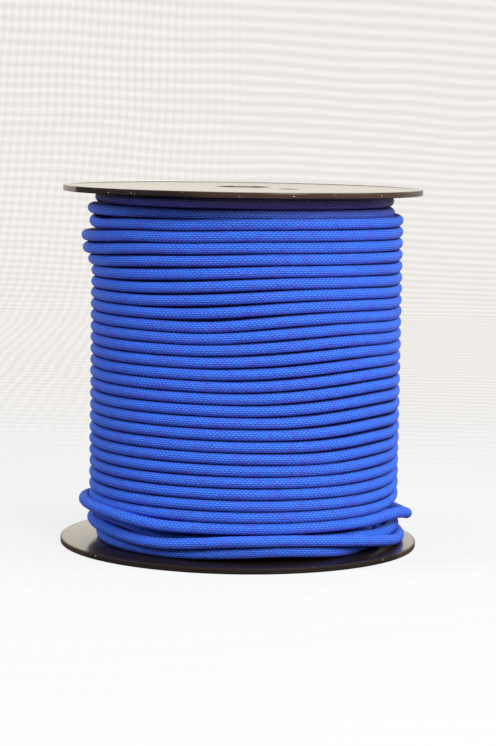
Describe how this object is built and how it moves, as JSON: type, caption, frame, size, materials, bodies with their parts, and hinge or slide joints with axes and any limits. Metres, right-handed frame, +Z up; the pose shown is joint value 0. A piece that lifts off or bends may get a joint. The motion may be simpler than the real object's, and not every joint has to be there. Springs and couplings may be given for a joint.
{
  "type": "cord reel",
  "caption": "Flanged plastic reel with a spindle bore and drive holes, wound level with braided cord whose last turns lie loose at the bottom.",
  "frame": {"origin": "centre of the base, on the surface that the reel stands on", "axes": "+Z up along the spindle bore, +X to the right and -Y to the front, the side from which the reel is seen"},
  "size_m": [0.15, 0.15, 0.15],
  "materials": {
    "reel_plastic": "black moulded plastic, satin gloss",
    "barrel_plastic": "black plastic tube",
    "cord_inside": "blue braid in shade, under the outer layer",
    "cord_braid": "blue braided cord with a fine herringbone of stitches"
  },
  "bodies": {
    "root": {"lower_flange": "reel_plastic", "upper_flange": "reel_plastic", "barrel": "barrel_plastic", "cord_inner_layers": "cord_inside", "cord_top_turns": "cord_braid", "cord_outer_layer": "cord_braid", "cord_last_turns": "cord_braid"}
  },
  "joints": []
}
